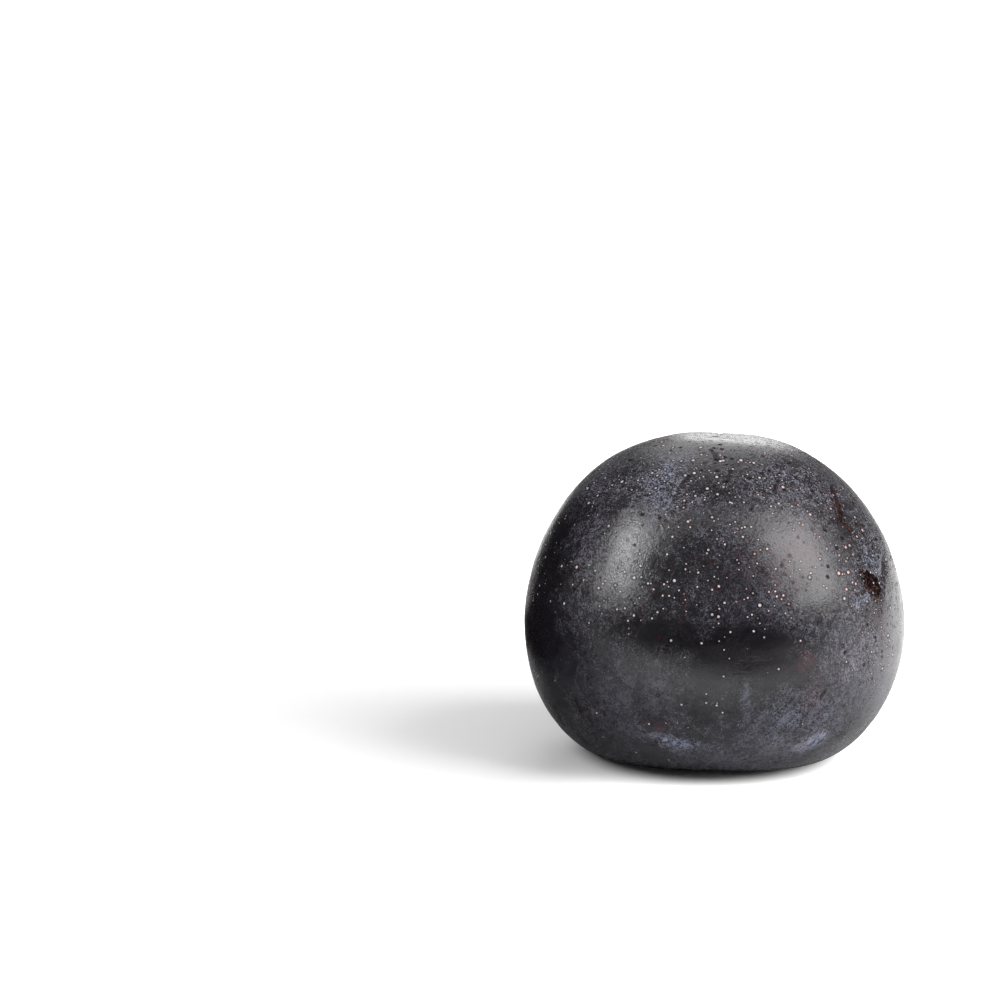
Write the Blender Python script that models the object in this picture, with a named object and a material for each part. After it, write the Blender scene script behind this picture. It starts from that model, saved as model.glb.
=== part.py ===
"""A ripe black plum, picked without its stem, standing on its stem end.

Metres, Z up. The origin is the middle of the face that it rests on, and the blossom tip is at the top.
X runs from cheek to cheek. The seam runs down the far side, +Y, from the tip into the stem hollow.
"""

import math

import bmesh
import bpy
from mathutils import Vector

# The round body. A section through the middle line is a curve of one angle, the section angle, which is
# 0 at the blossom tip and pi at the shoulders, the raised ring round the stem hollow that the plum rests on.
CHEEK_RADIUS = 0.0203
SHOULDER_RADIUS = 0.0145
HALF_HEIGHT = 0.0266
CORNER_FILL = 0.0028
WAIST_RISE = 0.0010
DEPTH_TO_WIDTH = 0.96
CROWN_TILT = 0.045
LEAN = 0.014

# The seam, whose plane also sets where the two cheeks are.
SEAM_BEARING = math.radians(83)
SEAM_HALF_WIDTH = 0.0036
SEAM_DEPTH_AT_SIDE = 0.00045
SEAM_DEPTH_AT_TIP = 0.00012
SEAM_DEPTH_AT_STEM = 0.0011

# The two ends.
TIP_DIMPLE_DEPTH = 0.00020
TIP_DIMPLE_RADIUS = 0.0036
HOLLOW_DEPTH = 0.0072
HOLLOW_RADIUS = 0.0060
HOLLOW_STEEPNESS = 2.4

# The resting face. Flesh that would reach below the table is pressed flat, and the cheeks carry the weight.
SINK = 0.0005
PRESS_BLEND = 0.0003
SHOULDER_LIFT = 0.0014

# How many faces there are round the plum and from end to end.
FACES_ROUND = 84
FACES_ALONG = 46
HOLLOW_SHARE = 0.18


def section(angle):
    """Distance from the middle line, and height, of the unseamed skin at a section angle."""
    out = CHEEK_RADIUS * math.sin(angle) - CORNER_FILL * math.sin(3 * angle)
    out += SHOULDER_RADIUS * math.sin(angle / 2) ** 2
    up = HALF_HEIGHT * (1 + math.cos(angle))
    up += CORNER_FILL * (math.cos(angle) - math.cos(3 * angle))
    up += 2 * WAIST_RISE * math.sin(angle) ** 2
    return out, up


def seam_depth(angle):
    """Depth of the seam: shallow down the side, deeper at both ends."""
    to_tip = math.cos(angle / 2) ** 8
    to_stem = math.sin(angle / 2) ** 8
    at_ends = SEAM_DEPTH_AT_TIP * to_tip + SEAM_DEPTH_AT_STEM * to_stem
    return at_ends + SEAM_DEPTH_AT_SIDE * (1 - to_tip - to_stem)


def pressed(height):
    """Height after the table has pressed the flesh flat, with a rounded edge to the flat."""
    if height < -PRESS_BLEND:
        return 0.0
    if height < PRESS_BLEND:
        return (height + PRESS_BLEND) ** 2 / (4 * PRESS_BLEND)
    return height


def skin_point(bearing, along):
    """The skin at a bearing from +X and a share of the way from the tip to the bottom of the hollow."""
    in_hollow = max(0.0, (along - 1 + HOLLOW_SHARE) / HOLLOW_SHARE)
    angle = math.pi * min(1.0, along / (1 - HOLLOW_SHARE))
    out, up = section(angle)
    out *= 1 - in_hollow

    underside = math.sin(angle / 2) ** 6
    across_seam = bearing - SEAM_BEARING
    up += underside * HOLLOW_DEPTH * math.exp(-((out / HOLLOW_RADIUS) ** HOLLOW_STEEPNESS))
    up += underside * SHOULDER_LIFT * math.cos(across_seam) ** 2 * (1 - in_hollow) - SINK
    up -= TIP_DIMPLE_DEPTH * math.exp(-((out / TIP_DIMPLE_RADIUS) ** 2)) * (1 - underside)

    x = out * math.cos(bearing)
    y = DEPTH_TO_WIDTH * out * math.sin(bearing)
    up -= CROWN_TILT * x * math.cos(angle / 2) ** 4
    x += LEAN * (up - HALF_HEIGHT)
    point = Vector((x, y, up))

    beside = out * math.sin(across_seam) / SEAM_HALF_WIDTH
    outward = max(0.0, min(1.0, out * math.cos(across_seam) / SEAM_HALF_WIDTH))
    depth = seam_depth(angle) * outward**2 * (3 - 2 * outward) * math.exp(-(beside**2))
    inward = Vector((0, 0, HALF_HEIGHT)) - point
    point += inward.normalized() * depth * (1 - in_hollow)
    point.z = pressed(point.z)
    return point


def skin_material():
    """Blue-black skin with a dull wax bloom."""
    material = bpy.data.materials.new("plum_skin")
    material.use_nodes = True
    shader = material.node_tree.nodes["Principled BSDF"]
    shader.inputs["Base Color"].default_value = (0.022, 0.018, 0.026, 1)
    shader.inputs["Roughness"].default_value = 0.42
    shader.inputs["Metallic"].default_value = 0
    return material


def make_plum():
    """One closed skin: a ball whose every point is carried to its place on the plum."""
    ball = bmesh.new()
    bmesh.ops.create_uvsphere(ball, u_segments=FACES_ROUND, v_segments=FACES_ALONG, radius=1)
    for vert in ball.verts:
        bearing = math.atan2(vert.co.y, vert.co.x)
        along = math.acos(max(-1.0, min(1.0, vert.co.z))) / math.pi
        vert.co = skin_point(bearing, along)
    for axis in (0, 1):
        places = [vert.co[axis] for vert in ball.verts]
        middle = (min(places) + max(places)) / 2
        for vert in ball.verts:
            vert.co[axis] -= middle
    mesh = bpy.data.meshes.new("plum")
    ball.to_mesh(mesh)
    ball.free()
    mesh.shade_smooth()
    mesh.materials.append(skin_material())
    plum = bpy.data.objects.new("plum", mesh)
    bpy.context.scene.collection.objects.link(plum)


for old in list(bpy.data.objects):
    bpy.data.objects.remove(old)
make_plum()
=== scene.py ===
import math

import bpy
import numpy as np
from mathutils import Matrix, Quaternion, Vector


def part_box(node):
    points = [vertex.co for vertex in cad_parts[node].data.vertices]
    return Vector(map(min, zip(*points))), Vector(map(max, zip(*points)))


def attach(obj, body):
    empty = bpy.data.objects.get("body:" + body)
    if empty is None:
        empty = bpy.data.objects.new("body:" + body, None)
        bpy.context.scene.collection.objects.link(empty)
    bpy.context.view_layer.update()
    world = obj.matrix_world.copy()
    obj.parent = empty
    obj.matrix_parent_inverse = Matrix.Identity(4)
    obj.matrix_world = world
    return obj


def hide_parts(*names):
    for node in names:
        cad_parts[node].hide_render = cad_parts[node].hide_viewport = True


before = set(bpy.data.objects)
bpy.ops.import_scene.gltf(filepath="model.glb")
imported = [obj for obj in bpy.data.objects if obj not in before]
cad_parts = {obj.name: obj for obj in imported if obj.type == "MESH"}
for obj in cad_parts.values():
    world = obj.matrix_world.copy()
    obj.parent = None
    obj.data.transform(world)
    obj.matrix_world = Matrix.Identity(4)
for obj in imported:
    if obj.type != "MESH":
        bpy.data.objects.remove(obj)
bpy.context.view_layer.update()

MM = 0.001

# The frame: the plum's own CAD box.
plum_low, plum_high = (np.array(corner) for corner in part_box("plum"))
plum_size = plum_high - plum_low
plum_middle = (plum_low + plum_high) / 2

# The round body, which has the CAD solid's shape. A section through the middle line is a curve of one
# angle, 0 at the blossom tip and pi at the shoulders, the raised ring that the plum rests on.
CHEEK_RADIUS = 20.3 * MM
SHOULDER_RADIUS = 14.5 * MM
HALF_HEIGHT = 26.6 * MM
CORNER_FILL = 2.8 * MM
WAIST_RISE = 1.0 * MM
DEPTH_TO_WIDTH = 0.96
CROWN_TILT = 0.045
LEAN = 0.014

SEAM_BEARING = math.radians(83)
SEAM_HALF_WIDTH = 3.6 * MM
SEAM_DEPTH_AT_SIDE = 0.45 * MM
SEAM_DEPTH_AT_TIP = 0.12 * MM
SEAM_DEPTH_AT_STEM = 1.1 * MM

TIP_DIMPLE_DEPTH = 0.20 * MM
TIP_DIMPLE_RADIUS = 3.6 * MM
HOLLOW_DEPTH = 7.2 * MM
HOLLOW_RADIUS = 6.0 * MM
HOLLOW_STEEPNESS = 2.4
HOLLOW_SHARE = 0.18

SINK = 0.5 * MM
PRESS_BLEND = 0.3 * MM
SHOULDER_LIFT = 1.4 * MM

# The skin's own relief, too fine for the CAD solid.
COLUMNS = 440
ROWS = 220
SWELL_LENGTH = 15 * MM
SWELL_HEIGHT = 0.08 * MM
FINE_SWELL_LENGTH = 4 * MM
FINE_SWELL_HEIGHT = 0.012 * MM
SWELL_WAVES = 24
SCAR_DEPTH = 0.45 * MM
SCAR_LIP_HEIGHT = 0.10 * MM
RUB_DEPTH = 0.12 * MM
CREASE_DEPTH = 0.22 * MM
SEAM_LINE_DEPTH = 0.14 * MM
WRINKLE_HEIGHT = 0.07 * MM
WRINKLE_RADIUS = 4.0 * MM
WRINKLE_SPREAD = 2.4 * MM


def body_section(angle):
    """Distance from the middle line, and height, at a section angle.

    Out is cheek radius x sin(angle), less corner fill x sin(3 angle), plus shoulder radius x sin squared
    of half the angle. Up is half height x (1 + cos), plus corner fill x (cos - cos of 3 angles), plus
    twice the waist's rise x sin squared.
    """
    out = CHEEK_RADIUS * np.sin(angle) - CORNER_FILL * np.sin(3 * angle)
    out = out + SHOULDER_RADIUS * np.sin(angle / 2) ** 2
    up = HALF_HEIGHT * (1 + np.cos(angle)) + CORNER_FILL * (np.cos(angle) - np.cos(3 * angle))
    return out, up + 2 * WAIST_RISE * np.sin(angle) ** 2


def body_points(bearing, along):
    """The smooth skin at a bearing from +X and a share of the way from the tip to the hollow's bottom.

    The section turns about the middle line. The hollow adds a bell of its depth, exp(-(out / radius)^k),
    to the underside, which the shoulders' lift raises front and back. The tip's dimple takes a bell away.
    The seam moves points towards the plum's middle by a bell across it, and what would pass below the
    table is pressed flat, with a parabola as the edge of the flat.
    """
    in_hollow = np.clip((along - 1 + HOLLOW_SHARE) / HOLLOW_SHARE, 0, 1)
    angle = np.pi * np.minimum(1, along / (1 - HOLLOW_SHARE))
    out, up = body_section(angle)
    out = out * (1 - in_hollow)
    underside = np.sin(angle / 2) ** 6
    across = bearing - SEAM_BEARING
    up = up + underside * HOLLOW_DEPTH * np.exp(-((out / HOLLOW_RADIUS) ** HOLLOW_STEEPNESS))
    up = up + underside * SHOULDER_LIFT * np.cos(across) ** 2 * (1 - in_hollow) - SINK
    up = up - TIP_DIMPLE_DEPTH * np.exp(-((out / TIP_DIMPLE_RADIUS) ** 2)) * (1 - underside)
    x = out * np.cos(bearing)
    y = DEPTH_TO_WIDTH * out * np.sin(bearing)
    up = up - CROWN_TILT * x * np.cos(angle / 2) ** 4
    points = np.stack([x + LEAN * (up - HALF_HEIGHT), y, up], axis=-1)

    beside = out * np.sin(across) / SEAM_HALF_WIDTH
    outward = np.clip(out * np.cos(across) / SEAM_HALF_WIDTH, 0, 1)
    to_tip = np.cos(angle / 2) ** 8
    to_stem = np.sin(angle / 2) ** 8
    depth = SEAM_DEPTH_AT_TIP * to_tip + SEAM_DEPTH_AT_STEM * to_stem
    depth = depth + SEAM_DEPTH_AT_SIDE * (1 - to_tip - to_stem)
    depth = depth * outward**2 * (3 - 2 * outward) * np.exp(-(beside**2)) * (1 - in_hollow)
    inward = np.array([0, 0, HALF_HEIGHT]) - points
    inward /= np.linalg.norm(inward, axis=-1, keepdims=True)
    points = points + inward * depth[..., None]

    height = points[..., 2]
    edge = (height + PRESS_BLEND) ** 2 / (4 * PRESS_BLEND)
    pressed = np.where(height < PRESS_BLEND, edge, height)
    points[..., 2] = np.where(height < -PRESS_BLEND, 0, pressed)
    return points


def closed_skin(bearing_count, row_count):
    """Bearings, shares of the way down, and faces of a turned skin that is closed at both poles."""
    shares = np.linspace(0, 1, row_count + 1)[1:-1]
    bearings = np.linspace(0, 2 * np.pi, bearing_count, endpoint=False)
    along, bearing = np.meshgrid(shares, bearings, indexing="ij")
    along = np.concatenate([[0.0], along.ravel(), [1.0]])
    bearing = np.concatenate([[0.0], bearing.ravel(), [0.0]])

    ring = np.arange(bearing_count)
    beyond = (ring + 1) % bearing_count
    upper = 1 + bearing_count * np.arange(row_count - 2)[:, None]
    lower = upper + bearing_count
    quads = np.stack([upper + ring, lower + ring, lower + beyond, upper + beyond], axis=-1)
    last = 1 + bearing_count * (row_count - 2)
    bottom = last + bearing_count
    top_fan = np.stack([np.zeros_like(ring), 1 + ring, 1 + beyond], axis=-1)
    bottom_fan = np.stack([np.full_like(ring, bottom), last + beyond, last + ring], axis=-1)
    faces = [*quads.reshape(-1, 4).tolist(), *top_fan.tolist(), *bottom_fan.tolist()]
    return bearing, along, faces


def swells(points, wave_length, count, seed):
    """Sum of plane waves in random directions, each sin(direction . point + phase), with a spread of one."""
    rng = np.random.default_rng(seed)
    directions = rng.normal(size=(count, 3))
    directions /= np.linalg.norm(directions, axis=1, keepdims=True)
    directions *= 2 * np.pi / (wave_length * rng.uniform(0.7, 1.6, (count, 1)))
    phases = rng.uniform(0, 2 * np.pi, count)
    return np.sin(points @ directions.T + phases).sum(axis=1) * math.sqrt(2 / count)


def smooth_step(value, start, end):
    """0 before start and 1 after end, with an S-curve 3t^2 - 2t^3 between."""
    t = np.clip((value - start) / (end - start), 0, 1)
    return t * t * (3 - 2 * t)


class Skin:
    """The plum's skin as arrays: where each vertex is, and the frame of the skin at a named place."""

    def __init__(self):
        self.bearing, self.along, self.faces = closed_skin(COLUMNS, ROWS)
        raw = body_points(self.bearing, self.along)
        self.raw_low, self.raw_size = raw.min(axis=0), np.ptp(raw, axis=0)
        self.points = self.in_frame(raw)
        self.outward = self.points - plum_middle
        self.out = np.hypot(self.outward[:, 0], self.outward[:, 1])
        self.outward /= np.linalg.norm(self.outward, axis=1, keepdims=True)
        self.in_hollow = smooth_step(self.along, 0.80, 0.90)
        self.across_seam = self.out * np.sin(self.bearing - SEAM_BEARING)
        beyond_middle = self.out * np.cos(self.bearing - SEAM_BEARING)
        self.seam_side = smooth_step(beyond_middle, 0.5 * MM, 3 * MM)

    def in_frame(self, points):
        """Carries the worked-out shape onto the box that the frame gives."""
        return plum_low + (points - self.raw_low) * plum_size / self.raw_size

    def offsets(self, at, turn=0.0):
        """Each vertex's distance right of, below and out from a place (bearing in degrees, share down)."""
        bearing, along = math.radians(at[0]), at[1]
        step = 0.01
        around = np.array([bearing, bearing - step, bearing + step, bearing, bearing])
        down = np.array([along, along, along, along - step, along + step])
        centre, left, right, above, below = self.in_frame(body_points(around, down))
        east = (right - left) / np.linalg.norm(right - left)
        south = (below - above) / np.linalg.norm(below - above)
        normal = np.cross(east, south)
        apart = self.points - centre
        right_of, below_of = apart @ east, apart @ south
        c, s = math.cos(math.radians(turn)), math.sin(math.radians(turn))
        return right_of * c + below_of * s, below_of * c - right_of * s, apart @ normal

    def patch(self, at, half_width, half_height, turn=0.0):
        """A soft-edged patch round a place: exp(-q^2), where q is 1 on an ellipse of the given halves."""
        right_of, below_of, out_of = self.offsets(at, turn)
        q2 = (right_of / half_width) ** 2 + (below_of / half_height) ** 2
        return np.exp(-q2 - (out_of / max(half_width, half_height)) ** 2)


skin = Skin()


# ---------------------------------------------------------------- where the skin differs
# Places on the skin are (bearing in degrees from +X, share of the way down from the tip).
SCAR_AT = (-38.0, 0.385)
SCAR_HALF_LENGTH = 3.1 * MM
SCAR_HALF_WIDTH = 1.75 * MM
SCAR_TURN = 42
RUB_PATH = (
    (-31.5, 0.264),
    (-35.4, 0.282),
    (-39.1, 0.298),
    (-43.0, 0.309),
    (-40.5, 0.315),
    (-37.5, 0.324),
)
CREASE_PATH = ((-25.5, 0.366), (-29.0, 0.377), (-32.5, 0.386))
SCRATCHES = (
    ((-100.8, 0.163), (-94.6, 0.195)),
    ((-86.6, 0.219), (-90.0, 0.243)),
    ((-108.8, 0.235), (-111.6, 0.249)),
    ((-141.3, 0.522), (-139.9, 0.549)),
    ((-149.8, 0.598), (-147.5, 0.620)),
    ((-155.5, 0.545), (-158.2, 0.585)),
    ((-59.5, 0.497), (-61.0, 0.508)),
    ((-66.0, 0.250), (-69.0, 0.262)),
)


def patches_on(zone, patches):
    """Adds soft patches to a zone: each has a place, half width and height in mm, turn and strength."""
    for at, half_width, half_height, turn, strength in patches:
        zone = zone + strength * skin.patch(at, half_width * MM, half_height * MM, turn)
    return np.clip(zone, 0, 2)


def zone_of_bloom():
    """How much wax bloom is left on each part of the skin, before its mottling. Less bloom on the left side
    and along a band across the front paints shade there.
    """
    zone = 0.40 + 0.09 * swells(skin.points, 26 * MM, 16, seed=3)
    zone += 0.11 * smooth_step(skin.along, 0.44, 0.50)
    zone += 0.35 * skin.in_hollow
    return patches_on(
        zone,
        (
            ((-123, 0.250), 3.5, 6.5, 0, 0.45),
            ((-118, 0.285), 3.0, 4.0, 0, 0.40),
            ((-118, 0.500), 8.0, 5.5, 0, 0.22),
            ((-97, 0.520), 8.0, 8.0, 0, -0.13),
            ((-112, 0.375), 4.0, 4.0, 0, -0.18),
            ((-92, 0.318), 4.5, 3.5, 0, 0.22),
            ((-90, 0.578), 5.0, 2.0, 0, -0.15),
            ((-145, 0.270), 3.0, 3.0, 0, 0.20),
            ((-58, 0.230), 5.0, 2.5, 0, 0.20),
            ((-36, 0.365), 4.0, 3.5, 0, 0.35),
            ((-45, 0.400), 3.0, 2.5, 0, 0.25),
            ((-106, 0.578), 5.5, 1.8, 14, 0.55),
            ((-72, 0.530), 6.0, 5.0, -20, 0.42),
            ((-56, 0.525), 4.0, 4.0, -35, 0.30),
            ((-58, 0.580), 3.4, 1.5, -40, 1.60),
            ((-98, 0.380), 6.0, 3.0, 0, 0.15),
            ((-48, 0.450), 5.0, 6.0, 0, 0.35),
            ((-35, 0.480), 6.0, 6.0, 0, 0.25),
            # Painted shade: these three take bloom away along the dark band across the front.
            ((-87, 0.438), 7.5, 2.4, 4, -0.90),
            ((-108, 0.428), 6.0, 2.0, 0, -0.28),
            ((-79, 0.462), 6.0, 1.6, 6, -0.35),
            ((-111, 0.405), 4.0, 2.2, 0, 0.22),
            ((-84, 0.199), 2.8, 2.4, 0, -0.30),
            ((-95, 0.502), 2.2, 3.5, 0, -0.12),
            ((-85, 0.495), 0.9, 4.0, 0, 0.22),
            ((-109, 0.495), 2.0, 3.0, 0, 0.18),
            ((-111, 0.545), 1.8, 1.8, 0, -0.16),
            ((-78, 0.590), 4.0, 2.0, 0, -0.15),
            ((-114, 0.235), 3.5, 3.5, 0, 0.30),
            ((-38, 0.408), 3.0, 3.0, 0, -0.22),
            ((-103, 0.240), 3.0, 2.5, 0, -0.20),
            ((-42, 0.310), 4.0, 5.5, 0, -0.30),
            # Painted shade: bloom taken away on the shaded left side.
            ((-164, 0.400), 8.5, 13.0, 0, -0.60),
            ((-103, 0.275), 5.0, 2.5, 0, 0.22),
            ((-66, 0.590), 5.0, 2.5, 0, 0.55),
        ),
    )


def zone_of_blue():
    """Where the bloom is thick enough to look blue."""
    zone = 0.10 + 0.12 * swells(skin.points, 22 * MM, 16, seed=7)
    return patches_on(
        zone,
        (
            ((-123, 0.250), 4.0, 7.0, 0, 0.50),
            ((-118, 0.290), 3.0, 4.0, 0, 0.45),
            ((-58, 0.230), 4.0, 3.0, 0, 0.50),
            ((-36, 0.365), 4.0, 3.5, 0, 0.50),
            ((-45, 0.400), 2.5, 2.0, 0, 0.55),
            ((-106, 0.578), 5.5, 2.0, 14, 0.75),
            ((-72, 0.535), 6.0, 5.0, -20, 0.45),
            ((-54, 0.530), 4.0, 4.0, -35, 0.50),
            ((-57, 0.590), 3.0, 2.0, -35, 0.60),
            ((-85, 0.495), 1.2, 4.0, 0, 0.55),
            ((-110, 0.495), 2.5, 2.5, 0, 0.35),
        ),
    )


def zone_of_wine():
    """Where the red flesh shows through the skin."""
    zone = 0.12 + 0.12 * swells(skin.points, 20 * MM, 16, seed=9)
    return patches_on(
        zone,
        (
            ((-88, 0.442), 5.5, 1.3, 5, 0.22),
            ((-76, 0.466), 6.0, 1.5, 0, 0.34),
            ((-107, 0.416), 6.0, 3.0, 0, 0.35),
            ((-67, 0.458), 3.0, 3.0, 0, 0.45),
            ((-111, 0.545), 1.5, 1.5, 0, 0.60),
            ((-63, 0.510), 3.0, 2.5, 0, 0.45),
            ((-38, 0.290), 2.0, 5.5, -15, 0.55),
            ((-36, 0.420), 3.5, 3.5, 0, 0.35),
            ((-62, 0.350), 8.0, 7.0, 0, 0.42),
            ((-50, 0.400), 4.0, 4.0, 0, 0.35),
            ((-58, 0.480), 6.0, 3.0, 0, 0.30),
        ),
    )


def zone_of_pink():
    """Where the dots are pink. Elsewhere they are cream."""
    zone = 0.10 + 0.08 * swells(skin.points, 16 * MM, 16, seed=8)
    return patches_on(
        zone,
        (
            ((-78, 0.350), 12.0, 8.0, 0, 0.42),
            ((-48, 0.350), 7.0, 10.0, 0, 0.42),
            ((-118, 0.400), 8.0, 4.0, 0, 0.25),
            ((-90, 0.450), 9.0, 3.5, 0, -0.25),
            ((-60, 0.560), 9.0, 8.0, 0, 0.30),
        ),
    )


def zone_of_dots():
    """Share of the possible skin dots that show: many near the tip, few near the stem end."""
    zone = 0.88 - 0.82 * smooth_step(skin.along, 0.36, 0.475)
    zone += (0.15 - 0.12 * smooth_step(skin.along, 0.42, 0.52)) * swells(skin.points, 14 * MM, 16, seed=5)
    return patches_on(
        zone,
        (
            ((-28, 0.350), 5.5, 12.0, 0, 1.00),
            ((-38, 0.450), 5.5, 6.0, 0, 0.75),
            ((-60, 0.440), 4.0, 4.0, 0, 0.20),
            ((-62, 0.350), 5.0, 7.0, 0, -0.30),
            ((-155, 0.360), 8.0, 9.0, 0, -0.80),
            ((-113, 0.345), 4.0, 3.0, 0, -0.25),
            ((-92, 0.210), 12.0, 4.0, 0, 0.35),
            ((-138, 0.275), 6.0, 5.5, 0, -0.42),
            ((-122, 0.350), 5.0, 4.0, 0, -0.30),
            ((-64, 0.400), 5.0, 4.0, 0, -0.35),
        ),
    )


def zone_of_grain():
    """How rough the grain of the skin is: fine and even low on the left, coarse near the tip and right."""
    zone = 0.95 - 0.68 * smooth_step(skin.along, 0.38, 0.50)
    zone += 0.10 * swells(skin.points, 18 * MM, 16, seed=6)
    return patches_on(
        zone,
        (
            ((-38, 0.320), 7.0, 11.5, 0, 1.25),
            ((-55, 0.530), 8.0, 8.0, 0, 0.45),
            ((-46, 0.450), 7.0, 6.0, 0, 0.55),
            ((-90, 0.210), 18.0, 6.0, 0, 0.85),
            ((-106, 0.585), 6.0, 2.5, 14, 0.35),
            ((-84, 0.370), 12.0, 6.0, 0, -0.32),
            ((-126, 0.350), 4.0, 7.0, 0, -0.10),
        ),
    )


def distance_to_path(path):
    """Distance from each vertex to the nearest straight piece of a path of places on the skin."""
    bearings = np.radians([at[0] for at in path])
    stops = skin.in_frame(body_points(bearings, np.array([at[1] for at in path])))
    nearest = np.full(len(skin.points), np.inf)
    for start, end in zip(stops[:-1], stops[1:]):
        run = end - start
        share = np.clip((skin.points - start) @ run / (run @ run), 0, 1)
        apart = skin.points - start - share[:, None] * run
        nearest = np.minimum(nearest, np.linalg.norm(apart, axis=1))
    return nearest


def scar_reach():
    """How far each vertex is out of the scar's middle, 1 on its outline, and on which side of it.

    The side is -1 at the scar's upper lip and 1 at its lower one.
    """
    right_of, below_of, out_of = skin.offsets(SCAR_AT, SCAR_TURN)
    along_scar = right_of / SCAR_HALF_LENGTH
    across_scar = below_of / SCAR_HALF_WIDTH
    return np.sqrt(along_scar**2 + across_scar**2 + (out_of / (4 * MM)) ** 2), across_scar


def relief(scar, rub, crease):
    """How far each vertex stands out of the smooth body.

    Gentle swells fade out at the table. The scar is a bowl, exp(-1.2 q^2), with a lip round q = 1.35, where
    q is 1 on its outline. The rub mark, the crease and the seam's line are grooves, exp(-d^2), where d is 1
    at their half width. Round the stem hollow are wrinkles, sines of the bearing.
    """
    rise = SWELL_HEIGHT * swells(skin.points, SWELL_LENGTH, SWELL_WAVES, seed=1)
    rise += FINE_SWELL_HEIGHT * swells(skin.points, FINE_SWELL_LENGTH, SWELL_WAVES, seed=2)
    rise *= smooth_step(skin.points[:, 2], 0.5 * MM, 4 * MM)
    rise -= SCAR_DEPTH * np.exp(-1.2 * scar**2)
    rise += SCAR_LIP_HEIGHT * np.exp(-((scar - 1.35) ** 2) / 0.05)
    rise -= RUB_DEPTH * np.exp(-((rub / 0.8) ** 2))
    rise -= CREASE_DEPTH * np.exp(-((crease / 0.7) ** 2))
    wrinkle = np.sin(13 * skin.bearing + 2 * np.sin(3 * skin.bearing)) + 0.6 * np.sin(29 * skin.bearing + 1)
    ring = np.exp(-(((skin.out - WRINKLE_RADIUS) / WRINKLE_SPREAD) ** 2))
    rise += WRINKLE_HEIGHT * skin.in_hollow * wrinkle * ring
    groove = skin.seam_side * np.exp(-((skin.across_seam / (0.5 * MM)) ** 2))
    return rise - SEAM_LINE_DEPTH * groove * (1 - skin.in_hollow)


def make_plum():
    """The skin's mesh: the round body with its relief, and as attributes its zones and its marks.

    An attribute of a mark holds the distance from it in mm, and the scar's its share of the scar's outline.
    """
    scar, scar_side = scar_reach()
    rub = distance_to_path(RUB_PATH) / MM
    crease = distance_to_path(CREASE_PATH) / MM
    points = skin.points + skin.outward * relief(scar, rub, crease)[:, None]
    mesh = bpy.data.meshes.new("ripe_plum")
    mesh.from_pydata(points, [], skin.faces)
    mesh.shade_smooth()
    for name, values in {
        "bloom": zone_of_bloom(),
        "blue": zone_of_blue(),
        "wine": zone_of_wine(),
        "dots": zone_of_dots(),
        "pink": zone_of_pink(),
        "grain": zone_of_grain(),
        "scar": scar,
        "scar_side": scar_side,
        "rub": rub,
        "crease": crease,
        "scratch": np.min([distance_to_path(path) for path in SCRATCHES], axis=0) / MM,
        "seam": np.abs(skin.across_seam) / MM + 4 * (1 - skin.seam_side),
        "stem_end": smooth_step(skin.along, 0.80, 0.93),
        "middle_distance": skin.out / MM,
    }.items():
        mesh.attributes.new(name, "FLOAT", "POINT").data.foreach_set("value", values.astype(np.float32))
    plum = bpy.data.objects.new("ripe_plum", mesh)
    bpy.context.scene.collection.objects.link(plum)
    return plum


# ---------------------------------------------------------------- shader maths


class Value:
    """A socket in a node tree. Arithmetic on it adds Math nodes."""

    def __init__(self, nodes, socket):
        self.nodes = nodes
        self.socket = socket

    def __add__(self, other):
        return self.nodes.maths("ADD", self, other)

    def __radd__(self, other):
        return self.nodes.maths("ADD", other, self)

    def __sub__(self, other):
        return self.nodes.maths("SUBTRACT", self, other)

    def __rsub__(self, other):
        return self.nodes.maths("SUBTRACT", other, self)

    def __mul__(self, other):
        return self.nodes.maths("MULTIPLY", self, other)

    def __rmul__(self, other):
        return self.nodes.maths("MULTIPLY", other, self)

    def __truediv__(self, other):
        return self.nodes.maths("DIVIDE", self, other)

    def __lt__(self, other):
        return self.nodes.maths("LESS_THAN", self, other)

    def __abs__(self):
        return self.nodes.maths("ABSOLUTE", self)


class Nodes:
    """A node tree that is being built."""

    def __init__(self, tree):
        self.tree = tree

    def node(self, kind, settings=None, inputs=None, output=0):
        """Adds a node: its settings first, then its sockets' values or links. Returns one output."""
        node = self.tree.nodes.new(kind)
        for name, setting in (settings or {}).items():
            setattr(node, name, setting)
        for name, value in (inputs or {}).items():
            self.feed(node.inputs[name], value)
        return Value(self, node.outputs[output])

    def feed(self, socket, value):
        if isinstance(value, Value):
            self.tree.links.new(value.socket, socket)
        else:
            socket.default_value = value

    def maths(self, operation, *operands):
        return self.node("ShaderNodeMath", {"operation": operation}, dict(enumerate(operands)))

    def larger(self, first, second):
        return self.maths("MAXIMUM", first, second)

    def distance(self, first, second):
        return self.node("ShaderNodeVectorMath", {"operation": "DISTANCE"}, {0: first, 1: second}, "Value")


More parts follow.
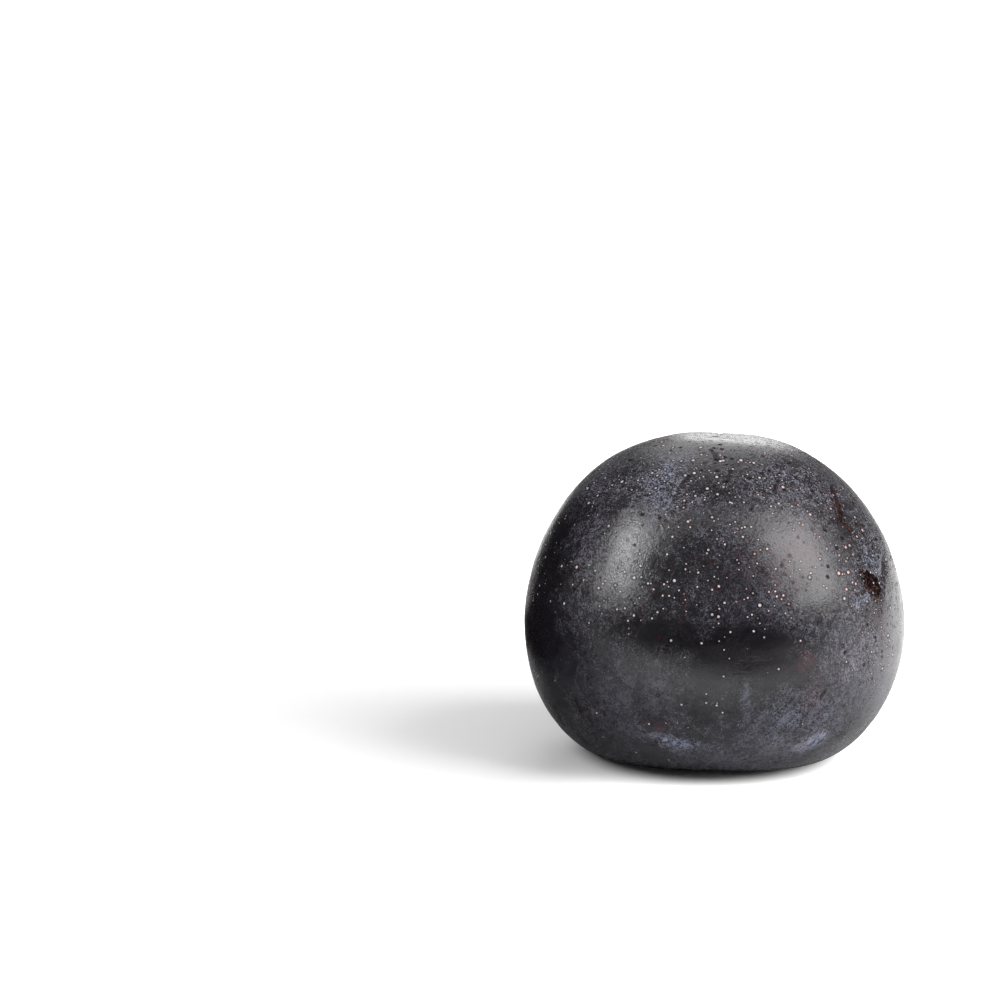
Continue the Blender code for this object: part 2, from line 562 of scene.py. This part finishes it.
class Finish(Nodes):
    """A material being built round its Principled shader."""

    def __init__(self, name):
        self.material = bpy.data.materials.new(name)
        self.material.use_nodes = True
        super().__init__(self.material.node_tree)
        self.shader = self.tree.nodes["Principled BSDF"]
        self.place = self.node("ShaderNodeTexCoord", output="Object")

    def set(self, **values):
        """Feeds the shader's own sockets, whose names are given with _ for a space."""
        for name, value in values.items():
            self.feed(self.shader.inputs[name.replace("_", " ")], value)

    def cover(self, share, colour, roughness, bump):
        """Lays a second, matt finish over the shader where share is 1."""
        inputs = {"Base Color": colour, "Roughness": roughness, "Specular IOR Level": 0.0, "Normal": bump}
        matt = self.node("ShaderNodeBsdfPrincipled", None, inputs)
        glossy = Value(self, self.shader.outputs[0])
        both = self.node("ShaderNodeMixShader", None, {0: share, 1: glossy, 2: matt})
        self.feed(self.tree.nodes["Material Output"].inputs["Surface"], both)

    def attribute(self, name):
        return self.node("ShaderNodeAttribute", {"attribute_name": name}, output="Fac")

    def noise(self, size, detail=2.0, roughness=0.5, distortion=0.0, place=None):
        """Fractal noise round 0, about 0.25 each way, with lumps of about the given size."""
        inputs = {
            "Vector": place or self.place,
            "Scale": 1 / size,
            "Detail": detail,
            "Roughness": roughness,
            "Distortion": distortion,
        }
        return self.node("ShaderNodeTexNoise", None, inputs) - 0.5

    def stretched(self, slope, longer):
        """Object coordinates for streaks that climb to the right at a slope, and are longer than wide."""
        turned = (0.0, -math.radians(slope), 0.0)
        inputs = {"Vector": self.place, "Rotation": turned, "Scale": (longer, 1.0, 1.0)}
        return self.node("ShaderNodeMapping", {"vector_type": "TEXTURE"}, inputs)

    def step(self, value, start, end, low=0.0, high=1.0):
        """low before start and high after end, with an S-curve between."""
        inputs = {"Value": value, "From Min": start, "From Max": end, "To Min": low, "To Max": high}
        return self.node("ShaderNodeMapRange", {"interpolation_type": "SMOOTHSTEP"}, inputs)

    def blend(self, share, first, second):
        """Colour first, turning to second as share goes from 0 to 1."""
        settings = {"data_type": "RGBA", "clamp_factor": True}
        inputs = {0: share, 6: self.colour(first), 7: self.colour(second)}
        return self.node("ShaderNodeMix", settings, inputs, output=2)

    @staticmethod
    def colour(value):
        return value if isinstance(value, Value) else (*value[:3], 1.0)

    def dots(self, spacing, smallest, largest, shown):
        """Round dots of random size, and each one's chance number for its colour.

        Each cell of a scatter has its middle, which shows as a dot where the skin passes near it. The
        result is the distance from the middle over the dot's radius, the cell's mask and its chance.
        """
        cells = {"Vector": self.place, "Scale": 1 / spacing}
        near = self.node("ShaderNodeTexVoronoi", None, cells, "Distance") * (spacing / MM)
        random_colour = {0: self.node("ShaderNodeTexVoronoi", None, cells, "Color")}
        for_mask = self.node("ShaderNodeSeparateColor", None, random_colour, "Red")
        for_colour = self.node("ShaderNodeSeparateColor", None, random_colour, "Green")
        for_size = self.node("ShaderNodeSeparateColor", None, random_colour, "Blue")
        radius = smallest + for_size * (largest - smallest)
        return near / radius, for_mask < shown, for_colour


BARE_SKIN = (0.0036, 0.0031, 0.0043)
WINE_SKIN = (0.0270, 0.0058, 0.0080)
BLOOM_GREY = (0.222, 0.213, 0.268)
BLOOM_BLUE = (0.213, 0.236, 0.336)
DOT_CREAM = (0.56, 0.54, 0.55)
DOT_PINK = (0.57, 0.43, 0.425)
DARK_RIM = (0.004, 0.003, 0.004)
PIT_BROWN = (0.012, 0.008, 0.009)
RED_RIM = (0.030, 0.010, 0.011)
# The scar's black, which is also painted shade at its upper lip.
SCAR_BLACK_AND_LIP_SHADE = (0.0050, 0.0025, 0.0025)
SCAR_BROWN = (0.076, 0.043, 0.040)
CREASE_BLACK = (0.024, 0.021, 0.023)
RUB_BROWN = (0.062, 0.030, 0.024)
STREAK_CREAM = (0.26, 0.21, 0.20)
CORK_BROWN = (0.060, 0.034, 0.022)
CORK_TAN = (0.20, 0.135, 0.090)

# Each set of dots: the spacing of its cells, the smallest and largest radius in mm, and the share that shows.
SMALL_DOTS = (0.85 * MM, 0.10, 0.20, 0.85)
LARGE_DOTS = (1.8 * MM, 0.18, 0.32, 0.95)


class PlumSkin(Finish):
    """The plum's finish, laid on in layers that share a few noises, from broad patches to fine specks."""

    def __init__(self):
        super().__init__("plum_skin")
        self.grain = self.attribute("grain")
        self.patches = self.noise(7 * MM, 3, 0.55)
        self.mottle = self.noise(1.8 * MM, 4, 0.62, 0.6)
        self.flecks = self.noise(0.75 * MM, 2.5, 0.62, 1.2)
        self.corky = self.noise(0.42 * MM, 2, 0.6, 0.8)
        self.specks = self.noise(0.24 * MM, 1.5, 0.6)

    def wax_bloom(self):
        """How much bloom there is, thin all over and thick in patches, and how blue it is."""
        runs = self.noise(2.4 * MM, 3, 0.60, 0.8, self.stretched(80, 3.0))
        wipes = self.noise(0.50 * MM, 2.5, 0.60, 0.6, self.stretched(40, 4.5))
        clouds = self.patches * 0.85 + self.mottle * (0.25 + self.grain * 0.65) + runs * 0.45
        bloom = self.step(self.attribute("bloom") + clouds, 0.05, 1.0, 0.05, 1.0)
        blueness = self.step(self.attribute("blue") + self.patches * 0.6 + self.mottle * 0.4, 0.30, 0.90)
        fine = (self.flecks * 7.5 + self.specks * 9.5) * self.grain * (1 - blueness * 0.45)
        fine = fine + wipes * (0.8 + blueness * 5.0)
        grainy = bloom * (1 + fine + self.step(fine, 0.3, 1.6) * 0.8)
        return self.larger(bloom * 0.10, grainy), blueness

    def bloomed_skin(self, bloom, blueness):
        """Black skin, wine red in places, under its bloom."""
        wine = self.step(self.attribute("wine") + self.noise(1.9 * MM, 4, 0.65) * 1.3, 0.30, 1.0)
        bare = self.blend(wine, BARE_SKIN, WINE_SKIN)
        thick = self.step(self.attribute("bloom"), 1.0, 1.7)
        share = bloom * (0.158 + blueness * 0.110 + thick * 0.14)
        return self.blend(share, bare, self.blend(blueness, BLOOM_GREY, BLOOM_BLUE))

    def scratches(self):
        """Where the bloom is scratched: hairlines that come and go, and a few deeper marks."""
        hairline = self.step(1.0 - abs(self.noise(4 * MM, 2, 0.5, 2.2)) * 26, 0.0, 0.7)
        sparse = self.step(self.noise(6 * MM, 1, 0.5), 0.03, 0.12)
        mark = self.step(self.attribute("scratch") + self.flecks * 0.4, 0.52, 0.22)
        return self.larger(hairline * sparse * 0.6, mark * 0.85), mark

    def dotted(self, colour):
        """Lays the dots over a colour. Each is cream or pink, with a dark rim."""
        shown = self.attribute("dots")
        pinkness = self.attribute("pink")
        cores, rims = [], []
        for spacing, smallest, largest, share in (SMALL_DOTS, LARGE_DOTS):
            reach, mask, chance = self.dots(spacing, smallest, largest, shown * share)
            core = self.step(reach, 1.15, 0.55) * mask
            rim = self.step(reach, 2.05, 1.3) * mask
            pink = self.step(chance * 0.8 + pinkness, 0.55, 0.95)
            colour = self.blend(rim * 0.9, colour, self.blend(pink, DARK_RIM, RED_RIM))
            colour = self.blend(core * (0.66 + chance * 0.34), colour, self.blend(pink, DOT_CREAM, DOT_PINK))
            cores.append(core)
            rims.append(rim)
        return colour, self.larger(*cores), self.larger(*rims)

    def pits(self, dot):
        """Small dark pits where the grain is coarse, clear of the dots."""
        reach, mask, _ = self.dots(1.3 * MM, 0.14, 0.36, (self.grain - 0.85) * 0.75)
        return self.step(reach + self.flecks * 1.6, 1.25, 0.95) * mask * (1 - dot)

    def scar(self):
        """Where the scar is and its colour: black at its upper lip, which is painted shade, brown inside,
        cream streaks below.
        """
        ragged = self.attribute("scar") + self.noise(1.5 * MM, 4, 0.7) * 1.7
        side = self.attribute("scar_side") + self.noise(1.2 * MM, 2, 0.5) * 1.2
        # Painted shade: the upper lip stays black, and brown shows only below it.
        brown = self.step(self.corky, -0.02, 0.17) * self.step(side, -0.75, -0.25)
        streaks = self.step(self.specks, 0.05, 0.14) * self.step(side, 0.25, 0.75) * 0.7
        colour = self.blend(streaks, self.blend(brown, SCAR_BLACK_AND_LIP_SHADE, SCAR_BROWN), STREAK_CREAM)
        return self.step(ragged, 1.08, 0.92), colour

    def rub_and_crease(self):
        """Where the rub mark and the crease are, and their colour."""
        rub = self.step(self.attribute("rub") + self.noise(1.3 * MM, 4, 0.7) * 2.6, 0.72, 0.45)
        crease = self.step(self.attribute("crease") + self.noise(1.3 * MM, 3, 0.6) * 1.6, 0.60, 0.30)
        rub_colour = self.blend(self.step(self.corky, -0.06, 0.16), DARK_RIM, RUB_BROWN)
        return rub, crease, self.blend(crease, rub_colour, CREASE_BLACK)

    def cork_ends(self):
        """Where the two ends are corky, the stem end more widely than the tip, and their colour."""
        stem_end = self.attribute("stem_end")
        size = 2.1 * stem_end + 0.55 * (1 - stem_end)
        ragged = self.attribute("middle_distance") + self.noise(1.0 * MM, 3, 0.6) * 1.1
        colour = self.blend(self.step(self.corky, -0.10, 0.16), CORK_BROWN, CORK_TAN)
        return self.step(ragged - size, 0.25, -0.1), colour


def skin_finish():
    """Glossy skin under bloom, dots and scratches, and over it a matt cover where the skin is dry."""
    f = PlumSkin()
    bloom, blueness = f.wax_bloom()
    scratch, deep_scratch = f.scratches()
    colour = f.blend(scratch, f.bloomed_skin(bloom, blueness), BARE_SKIN)
    colour, dot, rim = f.dotted(colour)
    pit = f.pits(dot)
    colour = f.blend(pit * 0.9, colour, DARK_RIM)
    seam = f.step(f.attribute("seam") + f.flecks * 0.6, 0.55, 0.10)
    colour = f.blend(seam * 0.6, colour, BARE_SKIN)

    scar, scar_colour = f.scar()
    rub, crease, mark_colour = f.rub_and_crease()
    cork, cork_colour = f.cork_ends()
    dry = f.blend(cork, f.blend(scar, mark_colour, scar_colour), cork_colour)
    dry = f.blend(f.larger(pit, deep_scratch), dry, PIT_BROWN)
    dry = f.blend(rim, dry, DARK_RIM)
    dryness = f.larger(f.larger(scar, f.larger(rub * 0.92, cork)), crease * 0.85)
    dryness = f.larger(dryness, f.larger(pit * 0.85, rim * 0.55 + deep_scratch * 0.55))

    # The finest relief, in mm.
    height = f.mottle * 0.020 + f.flecks * f.grain * 0.048 + f.specks * f.grain * 0.036
    height = height + dot * 0.015 - pit * 0.030 - scratch * 0.012 - deep_scratch * 0.025
    height = height - scar * (0.06 - f.corky * 0.45) - rub * (0.04 - f.corky * 0.30)
    bump = f.node("ShaderNodeBump", None, {"Height": height * MM, "Distance": 1.0, "Strength": 1.0})
    f.set(
        Base_Color=colour,
        Roughness=0.21 + bloom * 0.10 + f.mottle * 0.15,
        Normal=bump,
        IOR=1.45,
    )
    f.cover(dryness * (1 - dot * 0.8), dry, 0.75, bump)
    return f.material


plum = make_plum()
plum.data.materials.append(skin_finish())
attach(plum, "root")
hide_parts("plum")

# ---------------------------------------------------------------- the studio
CENTRE = Vector((0, 0, 27 * MM))
LIGHT_DISTANCE = 0.8
TABLE_REACH = 3.0
BACKDROP_STRENGTH = 1.1
ROOM_STRENGTH = 0.25
WHITE = (1.0, 1.0, 1.0, 1.0)
BLACK = (0.0, 0.0, 0.0, 1.0)
TABLE_WHITE = (0.84, 0.84, 0.84, 1.0)

# The table's glow is painted light, which shows it white. It fades out round the plum's foot, so that the
# shade there stays dark, and round a place to its left, where the fade paints shade.
FOOT_PLACE = (-2 * MM, 0.0, 0.0)
PAINTED_SHADE_PLACE = (-62 * MM, 22 * MM, 0.0)


def heading(azimuth, elevation):
    """Direction from the plum: azimuth 0 is towards the camera's side and 90 to the right."""
    a, e = math.radians(azimuth), math.radians(elevation)
    return Vector((math.sin(a) * math.cos(e), -math.cos(a) * math.cos(e), math.sin(e)))


def softbox(name, azimuth, elevation, size, radiance, roll=0, lights=True, mirrored=True):
    """A soft light that stands in a direction from the plum and faces it, rolled about that direction.

    Its size is its width and height. It can be one that only lights, or one that the plum only mirrors.
    """
    width, height = size
    lamp = bpy.data.lights.new(name, "AREA")
    lamp.shape = "RECTANGLE"
    lamp.size, lamp.size_y = width, height
    lamp.energy = radiance * math.pi * width * height
    box = bpy.data.objects.new(name, lamp)
    away = heading(azimuth, elevation)
    box.location = CENTRE + away * LIGHT_DISTANCE
    facing = away.to_track_quat("Z", "Y") @ Quaternion((0, 0, 1), math.radians(roll))
    box.rotation_euler = facing.to_euler()
    box.visible_camera = False
    box.visible_diffuse = lights
    box.visible_glossy = mirrored
    bpy.context.scene.collection.objects.link(box)


def card(name, corners, material):
    """A flat staged card through four corners. Its cover attribute fades from its middle to its edges."""
    first, second, third, fourth = np.array(corners, dtype=float)
    shares = np.array([0.0, 0.25, 0.75, 1.0])
    u, v = (grid[..., None] for grid in np.meshgrid(shares, shares, indexing="ij"))
    points = (first * (1 - u) + second * u) * (1 - v) + (fourth * (1 - u) + third * u) * v
    faces = [(4 * i + j, 4 * i + 4 + j, 4 * i + 5 + j, 4 * i + 1 + j) for i in range(3) for j in range(3)]
    cover = np.zeros((4, 4), dtype=np.float32)
    cover[1:3, 1:3] = 1
    mesh = bpy.data.meshes.new(name)
    mesh.from_pydata(points.reshape(-1, 3), [], faces)
    mesh.attributes.new("cover", "FLOAT", "POINT").data.foreach_set("value", cover.ravel())
    mesh.materials.append(material)
    plane = bpy.data.objects.new(name, mesh)
    bpy.context.scene.collection.objects.link(plane)
    return plane


def black_card(name, corners, strength):
    """A black card that only darkens what the plum mirrors. Its corners are in mm, and its edges fade out."""
    black = Finish("black_flag")
    black.set(Base_Color=BLACK, Roughness=1.0, Specular_IOR_Level=0.0)
    black.set(Alpha=black.attribute("cover") * strength)
    plane = card(name, np.array(corners) * MM, black.material)
    plane.visible_camera = False
    plane.visible_diffuse = False
    plane.visible_shadow = False


def upright_flag(name, start, end, low, high):
    """A black card that stands between two places, from one height to another, all in mm."""
    black_card(name, [(*start, low), (*end, low), (*end, high), (*start, high)], 1.0)


def flat_flag(name, left, right, front, back, height, strength):
    """A black card that lies at a height, in mm. Less than full strength lets some of the table through."""
    corners = [(left, front, height), (right, front, height), (right, back, height), (left, back, height)]
    black_card(name, corners, strength)


def white_table():
    white = Finish("white_table")
    # Painted shade: the glow fades out near the plum's foot and round a place to its left.
    past_foot = white.step(white.distance(white.place, FOOT_PLACE), 16 * MM, 27 * MM)
    past_painted_shade = white.step(white.distance(white.place, PAINTED_SHADE_PLACE), 46 * MM, 86 * MM)
    white.set(
        Base_Color=TABLE_WHITE,
        Roughness=0.7,
        Specular_IOR_Level=0.0,
        Emission_Color=white.blend(past_foot * past_painted_shade, BLACK, WHITE),
        Emission_Strength=1.0,
    )
    sides = ((-1, -1), (1, -1), (1, 1), (-1, 1))
    corners = [(x * TABLE_REACH, y * TABLE_REACH, plum_low[2]) for x, y in sides]
    card("white_table", corners, white.material)


def studio_world():
    """White where the camera sees it, and a dim white room to everything else."""
    world = bpy.data.worlds.new("studio")
    world.use_nodes = True
    air = Nodes(world.node_tree)
    seen = air.node("ShaderNodeLightPath", output="Is Camera Ray")
    room = air.node("ShaderNodeBackground", None, {"Color": WHITE, "Strength": ROOM_STRENGTH})
    backdrop = air.node("ShaderNodeBackground", None, {"Color": WHITE, "Strength": BACKDROP_STRENGTH})
    both = air.node("ShaderNodeMixShader", None, {0: seen, 1: room, 2: backdrop})
    air.feed(air.tree.nodes["World Output"].inputs["Surface"], both)
    bpy.context.scene.world = world


white_table()
softbox("left_softbox", -69, 35, (0.14, 0.48), 23.2, roll=17, lights=False)
softbox("left_fill", -62, 42, (0.30, 0.46), 7.5, mirrored=False)
softbox("right_softbox", 64, 34, (0.52, 0.70), 7.8)
softbox("back_top_softbox", 178, 50, (0.40, 0.62), 1.7)
softbox("front_top_softbox", 0, 68, (0.90, 0.16), 2.2)
softbox("back_wall", 172, 16, (0.18, 0.24), 2.8)
upright_flag("left_back_flag", (-36, 70), (-150, 20), -30, 125)
upright_flag("left_low_flag", (-66, -55), (-115, 115), -12, 36)
upright_flag("front_flag", (-400, -120), (400, -100), -12, 46)
flat_flag("right_floor_flag", 20, 140, -90, 90, 0.3, strength=0.22)
flat_flag("left_floor_flag", -230, -6, -75, 170, 0.4, strength=1.0)
flat_flag("front_floor_flag", -360, 120, -260, -70, 0.5, strength=1.0)
flat_flag("front_veil", -200, 80, -130, -10, 0.6, strength=0.20)
flat_flag("foot_flag", -66, 58, -60, 30, 0.7, strength=0.70)
studio_world()

bpy.context.scene.view_settings.view_transform = "Standard"

# ---------------------------------------------------------------- the camera
LENS = 93.2
CAMERA_DISTANCE = 0.425
CAMERA_TILT = math.radians(9)
RIGHT_OF_AXIS = 0.0826
BELOW_AXIS = 0.0349

camera = bpy.data.objects.new("camera", bpy.data.cameras.new("camera"))
camera.data.lens = LENS
camera.data.sensor_width = 36
forward = Vector((0, math.cos(CAMERA_TILT), -math.sin(CAMERA_TILT)))
right = Vector((1, 0, 0))
upward = right.cross(forward)
sight = forward + right * RIGHT_OF_AXIS - upward * BELOW_AXIS
camera.location = CENTRE - sight.normalized() * CAMERA_DISTANCE
camera.rotation_euler = (-forward).to_track_quat("Z", "Y").to_euler()
bpy.context.scene.collection.objects.link(camera)
bpy.context.scene.camera = camera
